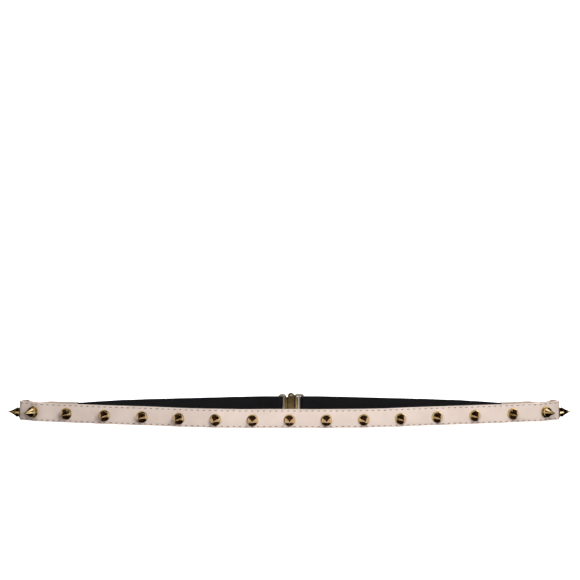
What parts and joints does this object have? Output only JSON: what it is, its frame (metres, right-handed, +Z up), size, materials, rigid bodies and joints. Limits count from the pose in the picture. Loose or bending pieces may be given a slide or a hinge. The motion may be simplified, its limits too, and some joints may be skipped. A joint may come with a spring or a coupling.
{
  "type": "studded belt",
  "caption": "Narrow waist belt of blush leather with polished cone studs along the front, an elastic back and a metal hook clasp, standing on edge as a closed loop.",
  "frame": {"origin": "on the surface that the belt stands on, midway between its two ends and between the front stud tips and the back of the elastic", "axes": "+X along the studded front to the wearer's left, +Y from the front to the elastic back, +Z up across the strap"},
  "size_m": [0.3894, 0.0616, 0.0172],
  "materials": {
    "leather": "smooth full-grain leather in blush pink, fine grain, semi-matt, stitched along both edges",
    "elastic": "black knitted elastic, matt, ribbed across its width",
    "spikes": "polished light gold plate",
    "screws": "light gold plate, plain",
    "clasp": "cast zinc alloy, antique pale brass plate, bright edges"
  },
  "bodies": {
    "root": {"leather_strap": "leather", "elastic_left": "elastic", "elastic_right": "elastic", "clasp_hook": "clasp", "clasp_eye": "clasp", "spike_01": "spikes", "spike_02": "spikes", "spike_03": "spikes", "spike_04": "spikes", "spike_05": "spikes", "spike_06": "spikes", "spike_07": "spikes", "spike_08": "spikes", "spike_09": "spikes", "spike_10": "spikes", "spike_11": "spikes", "spike_12": "spikes", "spike_13": "spikes", "spike_14": "spikes", "spike_15": "spikes", "spike_16": "spikes", "spike_17": "spikes", "screw_head_01": "screws", "screw_head_02": "screws", "screw_head_03": "screws", "screw_head_04": "screws", "screw_head_05": "screws", "screw_head_06": "screws", "screw_head_07": "screws", "screw_head_08": "screws", "screw_head_09": "screws", "screw_head_10": "screws", "screw_head_11": "screws", "screw_head_12": "screws", "screw_head_13": "screws", "screw_head_14": "screws", "screw_head_15": "screws", "screw_head_16": "screws", "screw_head_17": "screws"}
  },
  "joints": []
}
